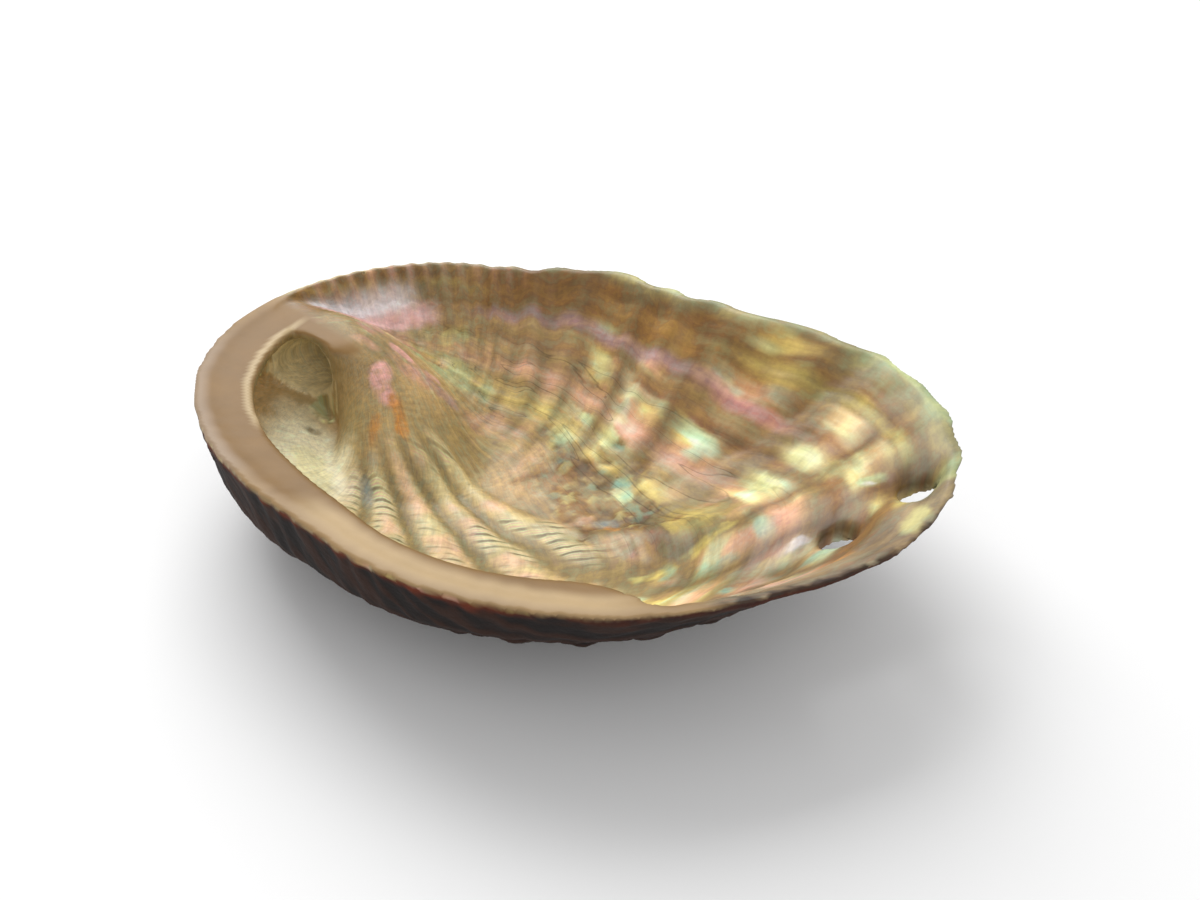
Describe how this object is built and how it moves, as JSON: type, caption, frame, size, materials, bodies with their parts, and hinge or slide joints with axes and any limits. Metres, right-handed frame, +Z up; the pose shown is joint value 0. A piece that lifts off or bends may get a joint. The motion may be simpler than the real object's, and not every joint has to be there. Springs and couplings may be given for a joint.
{
  "type": "abalone shell",
  "caption": "Ear-shaped abalone shell lying on its back, an open pearly bowl with a flat inner shelf, a coiled pocket at one end and a row of breathing holes.",
  "frame": {"origin": "middle of the shell's box in plan, on the surface it rests on", "axes": "+X along the length from the coiled end to the growing end with the open holes, +Y from the flat shelf towards the free lip, +Z up out of the opening"},
  "size_m": [0.1288, 0.093, 0.0313],
  "materials": {
    "nacre": "satin"
  },
  "bodies": {
    "root": {"shell": "nacre"}
  },
  "joints": []
}
